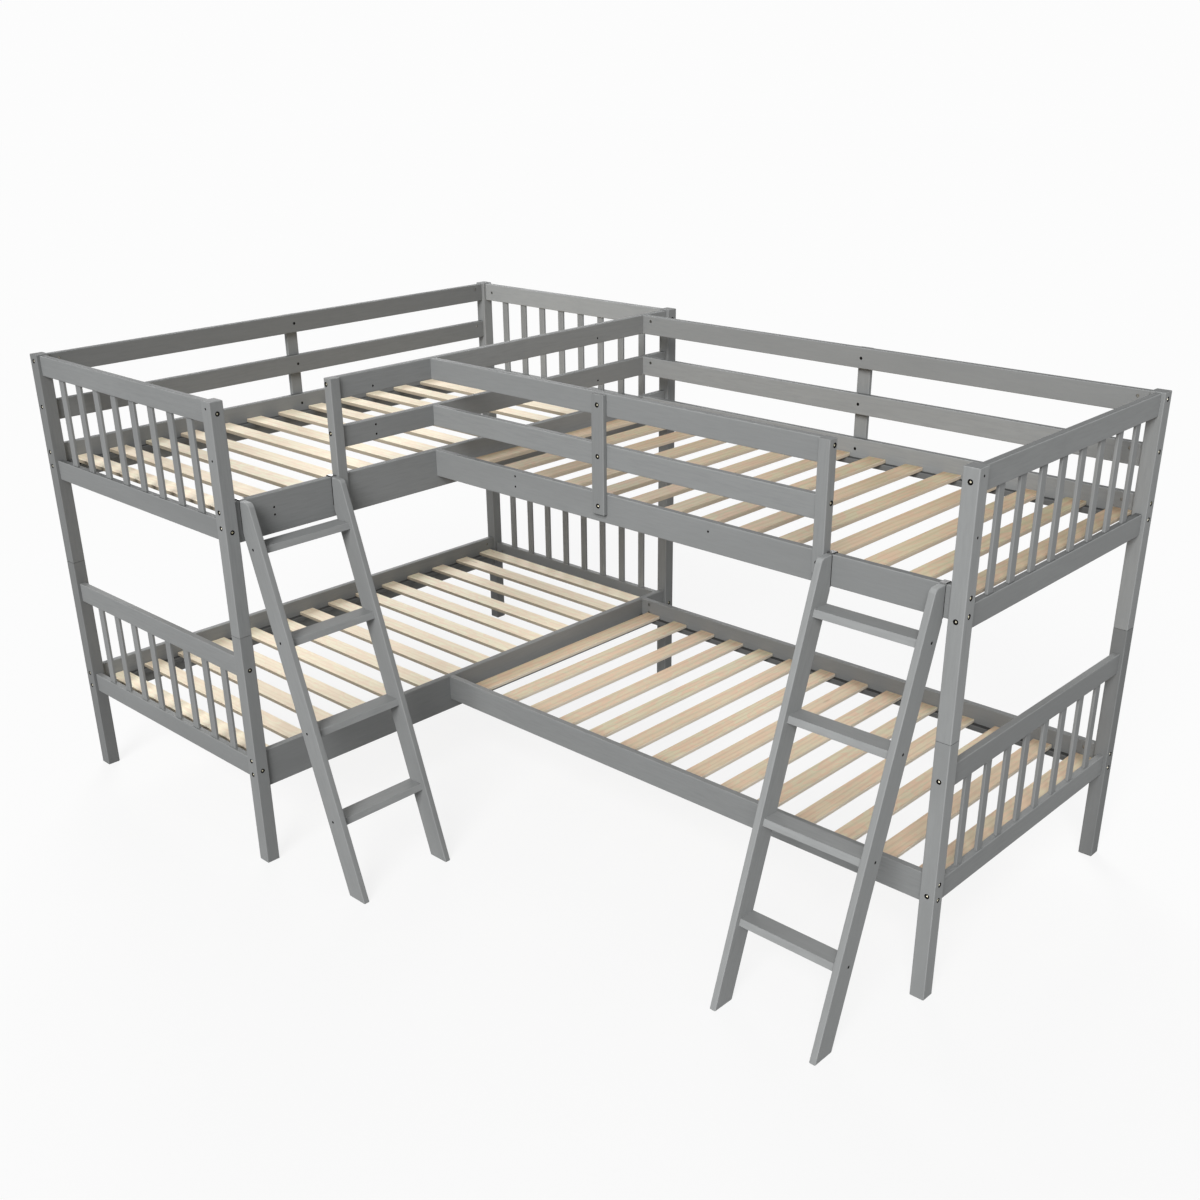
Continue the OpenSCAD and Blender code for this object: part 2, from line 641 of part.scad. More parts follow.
// Side view of a stringer: raking board, upright back cut, level foot and round top corner.
module stringer_profile() {
    front_u = foot_out + stringer_d;
    rake = atan(lean);
    round_z = upper_bed_z - stringer_r;
    round_u = front_u - lean * round_z - stringer_r / cos(rake);
    polygon(concat(
        [[front_u, 0], [foot_out, 0], [stringer_back, cut_z], [stringer_back, upper_bed_z]],
        arc([round_u, round_z], stringer_r, 90, rake)
    ));
}

// Side view of a rung: its back is flush with the stringer's back, and its front is parallel to
// it. With a slack it is the housing, open at the back.
module rung_profile(i, slack) {
    z0 = rung_top(i) - rung_t - slack;
    z1 = rung_top(i) + slack;
    back = slack > 0 ? 1 : 0;
    polygon([
        [back_u(z0) - back, z0], [back_u(z0) + rung_d + slack, z0],
        [back_u(z1) + rung_d + slack, z1], [back_u(z1) - back, z1]
    ]);
}

module rung_set(slack) {
    rung_l = ladder_w - 2 * (stringer_t - housing) + 2 * slack;
    for (i = [0:rung_n - 1])
        translate([0, (ladder_w + rung_l) / 2, 0]) rotate([90, 0, 0]) linear_extrude(rung_l)
            rung_profile(i, slack);
}

module stringer(w0) {
    color(PAINT) difference() {
        translate([0, w0 + stringer_t, 0]) rotate([90, 0, 0]) linear_extrude(stringer_t) stringer_profile();
        rung_set(clear);
        screw_set(2 * clear);
    }
}

// Boards let into housings in the two stringers.
module rungs() {
    color(PAINT) difference() {
        rung_set(0);
        screw_set(2 * clear);
    }
}

// One screw through each stringer into each rung's end.
module screw_set(slack) {
    for (i = [0:rung_n - 1]) {
        z = rung_top(i) - rung_t / 2;
        u = back_u(z) + rung_d / 2;
        translate([u, 0, z]) aim(Y) screw(slack);
        translate([u, ladder_w, z]) aim(-Y) screw(slack);
    }
}

module screw(slack) {
    difference() {
        union() {
            cylinder(r = 2 * screw_r + slack, h = head_sink + screw_r);
            cylinder(r = screw_r + slack, h = screw_l + slack);
        }
        if (slack == 0) translate([0, 0, -1]) cylinder(r = 3 * screw_r, h = 1 + head_sink);
    }
}

module screws() color(STEEL) screw_set(0);

// Bent steel straps: a plate on the stringer's back, a seat on the bed rail, a lip behind it.
module hooks() {
    z = upper_bed_z;
    lip_u = -rail_t - hook_gap;
    bend_z = z + hook_t - hook_bend;
    plate_bend = [stringer_back - hook_bend, bend_z];
    lip_bend = [lip_u - hook_t + hook_bend, bend_z];
    color(STEEL) for (w = [0, ladder_w - stringer_t])
        translate([0, w + (stringer_t + hook_w) / 2, 0]) rotate([90, 0, 0]) linear_extrude(hook_w)
            polygon(concat(
                [[hook_gap, z - hook_plate_l], [stringer_back, z - hook_plate_l]],
                arc(plate_bend, hook_bend, 0, 90),
                arc(lip_bend, hook_bend, 90, 180),
                [[lip_u - hook_t, z - hook_lip], [lip_u, z - hook_lip]],
                arc(lip_bend, hook_bend - hook_t, 180, 90),
                arc(plate_bend, hook_bend - hook_t, 90, 0)
            ));
}

module left_ladder_front_stringer() left_ladder_place() stringer(0);
module left_ladder_back_stringer() left_ladder_place() stringer(ladder_w - stringer_t);
module left_ladder_rungs() left_ladder_place() rungs();
module left_ladder_hooks() left_ladder_place() hooks();
module left_ladder_screws() left_ladder_place() screws();
module right_ladder_left_stringer() right_ladder_place() stringer(0);
module right_ladder_right_stringer() right_ladder_place() stringer(ladder_w - stringer_t);
module right_ladder_rungs() right_ladder_place() rungs();
module right_ladder_hooks() right_ladder_place() hooks();
module right_ladder_screws() right_ladder_place() screws();

// ---- fasteners ----

module frame_bolts() {
    color(STEEL) for (b = FRAME_BOLTS) translate(b[0]) aim(b[1]) bolt(bolt_l(b));
}

// Barrel nuts lie across the rails' ends, open to the inner face, and the bolts run through them.
module barrel_nuts() {
    color(STEEL) for (b = NUT_BOLTS) difference() {
        translate(nut_at(b)) aim(-b[3]) translate([0, 0, 1]) cylinder(r = nut_r, h = nut_l);
        translate(b[0]) aim(b[1]) cylinder(r = bolt_r + clear, h = bolt_l(b) + 1);
    }
}

// Bolts of the guard stiles, with sleeve nuts on the rails' inner faces behind the flat stiles.
module stile_bolts() {
    color(STEEL) {
        for (b = STILE_END_BOLTS) translate(b[0]) aim(b[1]) bolt(bolt_l(b));
        for (b = TONGUE_BOLTS) translate(b[0]) aim(b[1]) bolt(inset + rail_t / 2);
        for (b = THROUGH_BOLTS) translate(b[0]) aim(b[1]) {
            bolt(mid_stile_t + rail_t - 2 * head_sink);
            difference() {
                translate([0, 0, mid_stile_t + rail_t / 2]) cylinder(r = nut_r, h = rail_t / 2 - head_sink);
                cylinder(r = bolt_r + clear, h = mid_stile_t + rail_t);
            }
        }
    }
}

front_left_post_lower();
front_left_post_upper();
front_inner_post_lower();
front_inner_post_upper();
back_left_post_lower();
back_left_post_upper();
back_inner_post_lower();
back_inner_post_upper();
end_front_post_lower();
end_front_post_upper();
end_back_post_lower();
end_back_post_upper();
front_panel_lower_rails();
front_panel_upper_rails();
back_panel_lower_rails();
back_panel_upper_rails();
end_panel_lower_rails();
end_panel_upper_rails();
front_panel_lower_spindles();
front_panel_upper_spindles();
back_panel_lower_spindles();
back_panel_upper_spindles();
end_panel_lower_spindles();
end_panel_upper_spindles();
left_outer_bed_rail_lower();
left_outer_bed_rail_upper();
left_inner_bed_rail_lower();
left_inner_bed_rail_upper();
right_front_bed_rail_lower();
right_front_bed_rail_upper();
right_back_bed_rail_lower();
right_back_bed_rail_upper();
left_outer_guard_rails();
left_inner_guard_rails();
right_front_guard_rails();
right_back_guard_rails();
guard_middle_stiles();
guard_end_stiles();
left_ledgers_lower();
left_ledgers_upper();
right_ledgers_lower();
right_ledgers_upper();
left_slats_lower();
left_slats_upper();
right_slats_lower();
right_slats_upper();
left_ladder_front_stringer();
left_ladder_back_stringer();
left_ladder_rungs();
left_ladder_hooks();
left_ladder_screws();
right_ladder_left_stringer();
right_ladder_right_stringer();
right_ladder_rungs();
right_ladder_hooks();
right_ladder_screws();
frame_bolts();
barrel_nuts();
stile_bolts();
post_pins();
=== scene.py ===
# %% [markdown]
# # An L-shaped bunk bed in grey paint and bare pine
# The bed is two bunks joined at a right angle. Its frame, made elsewhere to real sizes, is
# loaded first and stays where it is. This lesson sets up the camera and the light of a
# catalogue picture, and then gives every board soft edges, a grain of its own and a finish.

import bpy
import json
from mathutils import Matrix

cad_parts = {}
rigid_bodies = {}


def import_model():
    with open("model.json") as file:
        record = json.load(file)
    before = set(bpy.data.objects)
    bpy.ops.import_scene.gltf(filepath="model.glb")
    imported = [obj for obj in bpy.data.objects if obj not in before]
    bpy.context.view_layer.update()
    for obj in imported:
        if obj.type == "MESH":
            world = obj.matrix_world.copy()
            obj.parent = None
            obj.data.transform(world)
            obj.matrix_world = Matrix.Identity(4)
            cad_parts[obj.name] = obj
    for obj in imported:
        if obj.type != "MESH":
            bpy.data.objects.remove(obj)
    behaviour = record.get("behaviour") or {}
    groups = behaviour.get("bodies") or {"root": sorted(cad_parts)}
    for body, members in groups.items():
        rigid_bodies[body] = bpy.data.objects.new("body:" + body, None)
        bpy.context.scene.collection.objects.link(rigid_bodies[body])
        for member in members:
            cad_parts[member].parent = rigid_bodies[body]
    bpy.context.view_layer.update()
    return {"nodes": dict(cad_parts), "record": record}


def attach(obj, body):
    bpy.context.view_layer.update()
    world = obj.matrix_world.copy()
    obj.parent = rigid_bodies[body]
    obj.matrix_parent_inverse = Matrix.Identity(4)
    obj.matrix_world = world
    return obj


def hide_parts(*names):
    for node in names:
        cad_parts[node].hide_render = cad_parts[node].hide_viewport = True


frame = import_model()
print("nodes:", len(frame["nodes"]))

# %% Tools used below
import json
import math

import bmesh
import bpy
from mathutils import Matrix, Vector

scene = bpy.context.scene
body_of_node = {node: body for body, nodes in frame["record"]["behaviour"]["bodies"].items()
                for node in nodes}
print("nodes that ride on a body:", len(body_of_node))

# %% [markdown]
# ## The camera
# The picture was taken from a little above the upper decks, off the corner between the two
# ladders. The place and the angles below were fitted to the straight edges of the bed, so a
# board drawn here falls on the same board in the picture. The bed sits low in the square
# frame, which is a small upward shift of the lens, and not a tilt.

# %% Place the camera
EYE = Vector((3.0206, -3.0732, 2.3985))
YAW, PITCH, ROLL = math.radians(43.62), math.radians(-24.90), math.radians(-0.68)
PICTURE = 1200  # the side of the square picture, in pixels
FOCAL = 1388.91  # the fitted focal length, in the same pixels
AXIS_ACROSS, AXIS_DOWN = 597.8, 693.5  # where in the picture the lens looks straight ahead
SENSOR = 36  # the width of the sensor, in millimetres
SIGHT = 200  # how far the camera sees, in metres

ahead = Vector((-math.sin(YAW) * math.cos(PITCH),
                math.cos(YAW) * math.cos(PITCH),
                math.sin(PITCH)))
level_right = Vector((math.cos(YAW), math.sin(YAW), 0))
level_up = level_right.cross(ahead)
right = level_right * math.cos(ROLL) + level_up * math.sin(ROLL)
up = level_up * math.cos(ROLL) - level_right * math.sin(ROLL)

lens = bpy.data.cameras.new("catalogue_camera")
lens.sensor_fit = "HORIZONTAL"
lens.sensor_width = SENSOR
lens.lens = SENSOR * FOCAL / PICTURE
lens.shift_x = (PICTURE / 2 - AXIS_ACROSS) / PICTURE
lens.shift_y = (AXIS_DOWN - PICTURE / 2) / PICTURE
lens.clip_end = SIGHT
camera = bpy.data.objects.new("catalogue_camera", lens)
camera.matrix_world = Matrix((right, up, -ahead)).transposed().to_4x4()
camera.location = EYE
scene.collection.objects.link(camera)
scene.camera = camera
print("lens", round(lens.lens, 1), "mm, looking", [round(v, 2) for v in ahead])

# %% [markdown]
# ## A white room
# Catalogue pictures stand the furniture on white with hardly a shadow. One way is a real white
# sweep lit until it burns out, but that also burns the wood. Here the light on the wood stays
# plain, and only what the camera sees of the floor and the sky is white. Light Path tells the
# two apart: camera and mirror rays get the white, and the rays that light the wood don't. A
# seventh of the white floor is ordinary matt paint, so it keeps a pale shadow of the bed.

# %% Helpers for node graphs
def add(tree, kind, values=None, **settings):
    """Adds a shader node, makes its settings, and fills its sockets with plain values."""
    made = tree.nodes.new(kind)
    for name, value in settings.items():
        setattr(made, name, value)
    for name, value in (values or {}).items():
        made.inputs[name].default_value = value
    return made


def fill(tree, socket, value):
    """Joins a socket to another one, or gives it a plain number or colour."""
    if isinstance(value, bpy.types.NodeSocket):
        tree.links.new(value, socket)
    elif isinstance(value, tuple):
        socket.default_value = value + (1,)
    else:
        socket.default_value = value


print("node helpers ready")

# %% Helpers that choose what a ray sees
def seen_directly(tree):
    """1 where a ray comes from the camera, a mirror or clear glass, and 0 where it lights."""
    path = add(tree, "ShaderNodeLightPath")
    mirror = add(tree, "ShaderNodeMath", operation="MAXIMUM")
    either = add(tree, "ShaderNodeMath", operation="MAXIMUM")
    tree.links.new(path.outputs["Is Glossy Ray"], mirror.inputs[0])
    tree.links.new(path.outputs["Is Transmission Ray"], mirror.inputs[1])
    tree.links.new(path.outputs["Is Camera Ray"], either.inputs[0])
    tree.links.new(mirror.outputs[0], either.inputs[1])
    return either.outputs[0]


def mix_shaders(tree, share, first, second):
    """Mixes two shaders; share is how much of the second one there is."""
    mix = add(tree, "ShaderNodeMixShader")
    for socket, value in zip(mix.inputs, (share, first.outputs[0], second.outputs[0])):
        fill(tree, socket, value)
    return mix


print("ray helpers ready")

# %% The sky
WHITE = (1, 1, 1, 1)
SKY_LEVEL = 0.32
BACKDROP_LEVEL = 0.975

sky = bpy.data.worlds.new("white_room")
scene.world = sky
sky.use_nodes = True
tree = sky.node_tree
tree.nodes.clear()
lighting = add(tree, "ShaderNodeBackground", {"Color": WHITE, "Strength": SKY_LEVEL})
backdrop = add(tree, "ShaderNodeBackground", {"Color": WHITE, "Strength": BACKDROP_LEVEL})
sky_seen = mix_shaders(tree, seen_directly(tree), lighting, backdrop)
sky_out = add(tree, "ShaderNodeOutputWorld")
tree.links.new(sky_seen.outputs[0], sky_out.inputs[0])
print("sky lights at", SKY_LEVEL, "and shows at", BACKDROP_LEVEL)

# %% The floor
FLOOR_BOUNCE = 0.36  # how much light the floor throws back on the wood
FLOOR_PAINT = 0.90  # the tone of the part that takes the shadow
GLOW_LEVEL = 0.98
GLOW_SHARE = 0.86
FLOOR_REACH = 40  # metres from the middle to each side

floor_white = bpy.data.materials.new("floor_white")
floor_white.use_nodes = True
tree = floor_white.node_tree
tree.nodes.clear()
matt = add(tree, "ShaderNodeBsdfDiffuse", {"Color": (FLOOR_BOUNCE,) * 3 + (1,)})
shadowed = add(tree, "ShaderNodeBsdfDiffuse", {"Color": (FLOOR_PAINT,) * 3 + (1,)})
glow = add(tree, "ShaderNodeEmission", {"Color": WHITE, "Strength": GLOW_LEVEL})
shown = mix_shaders(tree, GLOW_SHARE, shadowed, glow)
floor_seen = mix_shaders(tree, seen_directly(tree), matt, shown)
floor_out = add(tree, "ShaderNodeOutputMaterial")
tree.links.new(floor_seen.outputs[0], floor_out.inputs[0])

floor_shape = bmesh.new()
bmesh.ops.create_grid(floor_shape, x_segments=1, y_segments=1, size=FLOOR_REACH)
floor_mesh = bpy.data.meshes.new("floor")
floor_shape.to_mesh(floor_mesh)
floor_shape.free()
floor_mesh.materials.append(floor_white)
floor = bpy.data.objects.new("floor", floor_mesh)
scene.collection.objects.link(floor)
print("floor reaches", FLOOR_REACH, "m to each side, at height 0")

# %% [markdown]
# ## The lamps
# In the picture the boards that face the front are about a third lighter than those that face
# the right. So the main light comes from the front, a good third of the way up and a little to
# the right. A wide sun lamp gives such a light with soft shadows. The lower decks are as light
# as the upper ones, which light from above can't do. So the sky is dim, and a second lamp shines
# in from behind on the left. It also keeps the far sides bright when one walks round the bed.

# %% Light the bed
LAMP_WIDTH = math.radians(30)


def light(name, energy, towards):
    """A wide sun lamp that shines from a direction."""
    sun = bpy.data.lights.new(name, "SUN")
    sun.energy = energy
    sun.angle = LAMP_WIDTH
    lamp = bpy.data.objects.new(name, sun)
    lamp.rotation_euler = (-towards).to_track_quat("-Z", "Y").to_euler()
    scene.collection.objects.link(lamp)
    height = round(math.degrees(math.asin(towards.normalized().z)))
    print(name, "at strength", energy, "and", height, "degrees above the floor")


light("front_lamp", 2.7, Vector((0.36, -0.75, 0.56)))
light("back_lamp", 1.6, Vector((-0.70, 0.52, 0.48)))
scene.view_settings.view_transform = "Standard"

# %% [markdown]
# ## Boards with soft edges
# Every wooden piece left the saw sharp and was then sanded, so its edges catch a thin line of
# light. The frame's boards are loose triangles, so a copy is merged first, and flat faces are
# joined again. Which edges may be rounded? Only those on the outside of a board, because the
# rims of bolt holes stay crisp. An outside face has no part of its board in front of it, and
# an edge between two such faces is an outside edge.

# %% Helpers that sort a mesh into boards
def separate_boards(shape):
    """The groups of joined corners in a mesh, one group for each board."""
    left = set(shape.verts)
    groups = []
    while left:
        group = {left.pop()}
        rim = list(group)
        while rim:
            corner = rim.pop()
            for edge in corner.link_edges:
                other = edge.other_vert(corner)
                if other in left:
                    left.discard(other)
                    group.add(other)
                    rim.append(other)
        groups.append(sorted(group, key=lambda corner: corner.index))
    return sorted(groups, key=lambda group: [round(v, 4) for v in group[0].co])


def faces_of(group):
    """The faces of one board."""
    return {face for corner in group for face in corner.link_faces}


def box_of(group):
    """The lowest and the highest place that a board reaches along x, y and z."""
    low = Vector([min(corner.co[k] for corner in group) for k in range(3)])
    high = Vector([max(corner.co[k] for corner in group) for k in range(3)])
    return low, high


print("board helpers ready")

# %% Helpers that find a board's outside edges
FLUSH = 3e-5  # metres that a corner may stand out and still lie in the face
SHARP = math.radians(48)


def is_outside(face, group):
    """Whether none of the board's corners lies in front of this face."""
    reach = max(face.normal.dot(corner.co) for corner in group)
    return reach < face.normal.dot(face.verts[0].co) + FLUSH


def outside_edges(group):
    """The sharp edges between two outside faces of one board."""
    outside = {face for face in faces_of(group) if is_outside(face, group)}
    edges = {edge for face in outside for edge in face.edges}
    return [edge for edge in edges
            if len(edge.link_faces) == 2 and all(face in outside for face in edge.link_faces)
            and edge.calc_face_angle(0) > SHARP]


print("edges sharper than", round(math.degrees(SHARP)), "degrees get rounded")

# %% [markdown]
# ## Grain that follows each board
# A pattern laid over the whole bed would run on from board to board, which no real wood does.
# So each corner stores where it lies along its own board, with a shift that differs from board
# to board. The materials read this map. A second value gives each board its own shade, a third
# marks the rounded edges, where paint wears first, and a fourth tells a board's broad faces
# from its narrow sides and its ends. A fifth marks level faces, such as the top of a rail.

# %% A helper that writes the grain map
SHIFT_STEP = (1.37, 2.91, 0.73)  # how far the pattern moves from one board to the next
SHIFT_ROOM = (7, 5, 3)  # and where it starts again, in metres
SHADE_STEP = 0.618034
SQUARE = 0.985  # a face that looks less than this along its board's axes is a rounded edge
LEVEL = 0.9


def write_grain(shape, seed, along=None):
    """Stores each corner's place and board's shade, and each face's wear, facing and level."""
    place = shape.verts.layers.float_vector.new("grain")
    shade = shape.verts.layers.float.new("shade")
    wear = shape.faces.layers.float.new("wear")
    facing = shape.faces.layers.float.new("facing")
    level = shape.faces.layers.float.new("level")
    shape.normal_update()
    for number, group in enumerate(separate_boards(shape), start=seed):
        low, high = box_of(group)
        size = high - low
        order = sorted(range(3), key=lambda k: -size[k])
        axes = [Vector([1.0 if k == n else 0.0 for k in range(3)]) for n in order]
        if along is not None:
            axes = [along, along.cross(axes[2]), axes[2]]
        shift = Vector([number * step % room for step, room in zip(SHIFT_STEP, SHIFT_ROOM)])
        for corner in group:
            here = corner.co - low
            corner[place] = Vector([here.dot(axis) for axis in axes]) + shift
            corner[shade] = number * SHADE_STEP % 1.0
        for face in faces_of(group):
            turned = [abs(face.normal.dot(axis)) for axis in axes]
            face[facing] = 2.0 - turned.index(max(turned))
            face[wear] = 1.0 if max(turned) < SQUARE else 0.0
            face[level] = 1.0 if abs(face.normal.z) > LEVEL else 0.0


print("grain map helper ready")

# %% A helper that puts a shape in a node's place
def stand_in(shape, node, ending, finish, crisp):
    """Makes a piece of a shape and puts it in the node's place, on the node's body."""
    mesh = bpy.data.meshes.new(node + ending)
    shape.to_mesh(mesh)
    shape.free()
    mesh.shade_smooth()
    mesh.set_sharp_from_angle(angle=crisp)
    mesh.materials.append(finish)
    piece = bpy.data.objects.new(node + ending, mesh)
    scene.collection.objects.link(piece)
    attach(piece, body_of_node[node])
    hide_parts(node)
    return piece


print("stand-in helper ready")

# %% A helper that dresses a node of boards
MERGE = 1e-5  # corners this near each other are one corner, in metres
FLAT = math.radians(0.4)
WOOD_CREASE = math.radians(38)


def dress(node, finish, soften, seed, along=None):
    """Replaces a node by a copy with soft edges, a grain map and a finish."""
    shape = bmesh.new()
    shape.from_mesh(frame["nodes"][node].data)
    bmesh.ops.remove_doubles(shape, verts=shape.verts, dist=MERGE)
    bmesh.ops.dissolve_limit(shape, angle_limit=FLAT, use_dissolve_boundaries=False,
                             verts=shape.verts, edges=shape.edges)
    shape.normal_update()
    # Faces inside holes, which the paint turns near black as painted shade.
    bored = shape.faces.layers.float.new("bored")
    boards = separate_boards(shape)
    for group in boards:
        for face in faces_of(group):
            face[bored] = 0.0 if is_outside(face, group) else 1.0
    soft = [edge for group in boards for edge in outside_edges(group)]
    bmesh.ops.bevel(shape, geom=soft, offset=soften, offset_type="OFFSET", segments=3,
                    profile=0.5, affect="EDGES", clamp_overlap=True, material=-1)
    write_grain(shape, seed, along)
    piece = stand_in(shape, node, "_wood", finish, WOOD_CREASE)
    even = piece.modifiers.new("even_shading", "WEIGHTED_NORMAL")
    even.keep_sharp = True


print("dressing helper ready")

# %% [markdown]
# ## Grey paint on wood
# The paint is a satin mid grey, sprayed thin enough that the grain still shows as faint, long
# ripples. The colour varies a little from board to board and in soft clouds. On the rounded
# edges the paint is thinnest, so they are a little lighter. Level faces are darkened as painted
# shade, less so on the lower bunks and the ladders. The walls of the holes are painted near black
# as painted shade, so a ring of painted shade circles every bolt. Lighter and darker copies of
# the
# paint stand in for light and shade: the ledgers under the slats are the darkest, as painted
# shade, a few boards on the left are darker, as painted shade, and the right bunk's upper half
# and the nearest post are paler, as painted light.

# %% Helpers that read what a mesh stores
def stored_value(tree, name):
    """A value stored on the mesh."""
    return add(tree, "ShaderNodeAttribute", attribute_name=name).outputs["Fac"]


def stretched(tree, scale):
    """A point's place on its board; scale holds the changes in a metre along and across."""
    stored = add(tree, "ShaderNodeAttribute", attribute_name="grain")
    stretch = add(tree, "ShaderNodeMapping", {"Scale": scale}, vector_type="POINT")
    tree.links.new(stored.outputs["Vector"], stretch.inputs["Vector"])
    return stretch.outputs["Vector"]


def grain_pattern(tree, scale, detail, roughness=0.55, distortion=0.0):
    """Noise stretched along the board."""
    noise = add(tree, "ShaderNodeTexNoise", {"Scale": 1.0, "Detail": detail,
                                             "Roughness": roughness, "Distortion": distortion})
    tree.links.new(stretched(tree, scale), noise.inputs["Vector"])
    return noise.outputs["Fac"]


print("pattern helpers ready")

# %% Helpers that mix values and colours
def spread(tree, value, low, high, to_low=0.0, to_high=1.0):
    """Maps a value's range from low..high to to_low..to_high."""
    remap = add(tree, "ShaderNodeMapRange", {"From Min": low, "From Max": high,
                                             "To Min": to_low, "To Max": to_high}, clamp=True)
    tree.links.new(value, remap.inputs["Value"])
    return remap.outputs["Result"]


def times(tree, first, second):
    """One value times another; the second may be a plain number."""
    product = add(tree, "ShaderNodeMath", operation="MULTIPLY")
    fill(tree, product.inputs[0], first)
    fill(tree, product.inputs[1], second)
    return product.outputs[0]


def blend(tree, amount, first, second, how="MIX"):
    """Mixes two colours; either may be a socket or a plain colour."""
    mix = add(tree, "ShaderNodeMix", data_type="RGBA", blend_type=how)
    for name, kind, value in (("Factor", "VALUE", amount), ("A", "RGBA", first),
                              ("B", "RGBA", second)):
        socket = next(s for s in mix.inputs if s.name == name and s.type == kind)
        fill(tree, socket, value)
    return next(s for s in mix.outputs if s.type == "RGBA")


print("mixing helpers ready")

# %% Helpers that start and end a material
def new_material(name):
    """A new material, its tree of nodes and its shader."""
    made = bpy.data.materials.new(name)
    made.use_nodes = True
    return made, made.node_tree, made.node_tree.nodes["Principled BSDF"]


def ripple(tree, shader, height, depth):
    """Raises and lowers the surface by a pattern; depth is in metres."""
    bump = add(tree, "ShaderNodeBump", {"Strength": 0.25, "Distance": depth})
    tree.links.new(height, bump.inputs["Height"])
    tree.links.new(bump.outputs["Normal"], shader.inputs["Normal"])


print("material helpers ready")

# %% Mix the grey paint
PAINT = Vector((0.281, 0.288, 0.288))
DEEP, PALE, THIN = 0.86, 1.10, 1.22  # the paint's darker and lighter parts, as shares of it
# near black: painted shade on the walls of holes and recesses
HOLE_SHADE = (0.012, 0.011, 0.010)
CLOUDS = (2.2, 9, 9)
STREAKS = (14, 150, 150)
RUBS = (12, 60, 60)


def mix_paint(name, depth, painted_top_shade=0.48):
    """Satin grey paint; depth darkens or lightens the whole coat, also as painted light and
    shade, and the last value darkens its level faces as painted shade.
    """
    body, deep, pale, thin = (tuple(PAINT * depth * part) for part in (1.0, DEEP, PALE, THIN))
    made, tree, coat = new_material(name)
    clouds = grain_pattern(tree, CLOUDS, 3)
    streaks = grain_pattern(tree, STREAKS, 5, roughness=0.65)
    shaded = blend(tree, stored_value(tree, "shade"), deep, pale)
    clouded = blend(tree, spread(tree, clouds, 0.35, 0.65, 0.0, 0.9), shaded, body)
    grained = blend(tree, spread(tree, streaks, 0.42, 0.72, 0.0, 0.6), clouded, deep)
    rubbed = spread(tree, grain_pattern(tree, RUBS, 3), 0.35, 0.7, 0.1, 0.5)
    painted = blend(tree, times(tree, rubbed, stored_value(tree, "wear")), grained, thin)
    # Level faces are darkened here as painted shade.
    shaded_tops = blend(tree, stored_value(tree, "level"), painted, (painted_top_shade,) * 3, "MULTIPLY")
    # The walls of the holes are painted near black as painted shade.
    shaded_holes = blend(tree, stored_value(tree, "bored"), shaded_tops, HOLE_SHADE)
    tree.links.new(shaded_holes, coat.inputs["Base Color"])
    tree.links.new(spread(tree, clouds, 0.3, 0.7, 0.48, 0.62), coat.inputs["Roughness"])
    coat.inputs["Specular IOR Level"].default_value = 0.06
    ripple(tree, coat, streaks, 0.0006)
    return made


print("paint", [round(v, 3) for v in PAINT], "can be mixed")

# %% Mix the paint and its copies in painted light and shade
mid_grey = mix_paint("mid_grey_paint", 0.97)
low_grey = mix_paint("low_grey_paint", 0.97, painted_top_shade=0.88)
# The copies below stand in for light and shade: darker ones are painted shade, lighter ones
# painted light.
grey_in_painted_shade = mix_paint("deep_grey_paint", 0.78)
grey_in_painted_light = mix_paint("pale_grey_paint", 1.06)
grey_in_bright_painted_light = mix_paint("light_grey_paint", 1.22)
ledger_painted_shade = mix_paint("ledger_grey_paint", 0.55)
ladder_paints_in_light = {"left": mix_paint("left_ladder_paint", 1.06, painted_top_shade=0.90),
                "right": mix_paint("right_ladder_paint", 1.18, painted_top_shade=0.88)}
print("grey paints:", sum("paint" in made.name for made in bpy.data.materials))

# %% [markdown]
# ## Bare pine
# The slats are planed pine: blotches of straw and rose the size of a coin, over faint darker
# lines of late growth that run the length of the board in long, uneven curves. The blotches come
# from noise, and the lines from waves across the board that slow noise pushes about. The few
# small knots are the middles of the cells of a cell pattern, stretched along the grain. The
# narrow sides carry painted light and shade: painted shade makes them dusky on the palest slats,
# and painted light makes them paler than the tops on the others. Slats differ in tone, and decks
# do too.

# %% Helpers for rings, knots and narrow sides
RINGS = (1.6, 15, 15)
KNOTS = (2.2, 9, 9)


def growth_rings(tree):
    """Waves across the board, pushed about by slow noise: 1 in late growth."""
    rings = add(tree, "ShaderNodeTexWave",
                {"Scale": 1.0, "Distortion": 8.0, "Detail": 3, "Detail Scale": 0.9},
                wave_type="BANDS", bands_direction="Y", wave_profile="SIN")
    tree.links.new(stretched(tree, RINGS), rings.inputs["Vector"])
    return rings.outputs["Fac"]


def from_knot(tree):
    """How far a point lies from the middle of its cell, where a knot may be."""
    cells = add(tree, "ShaderNodeTexVoronoi", {"Scale": 1.0, "Randomness": 1.0}, feature="F1")
    tree.links.new(stretched(tree, KNOTS), cells.inputs["Vector"])
    return cells.outputs["Distance"]


def narrow_sides(tree, facing):
    """1 on the narrow sides of a board, whose facing is 1, and 0 elsewhere."""
    narrow = add(tree, "ShaderNodeMath", {1: 1.0, 2: 0.1}, operation="COMPARE")
    tree.links.new(facing, narrow.inputs[0])
    return narrow.outputs[0]


print("pine helpers ready")

# %% Saw the pine
KNOT = (0.26, 0.15, 0.08)
FIBRES = (8, 420, 420)
FLUSHES = (16, 38, 38)


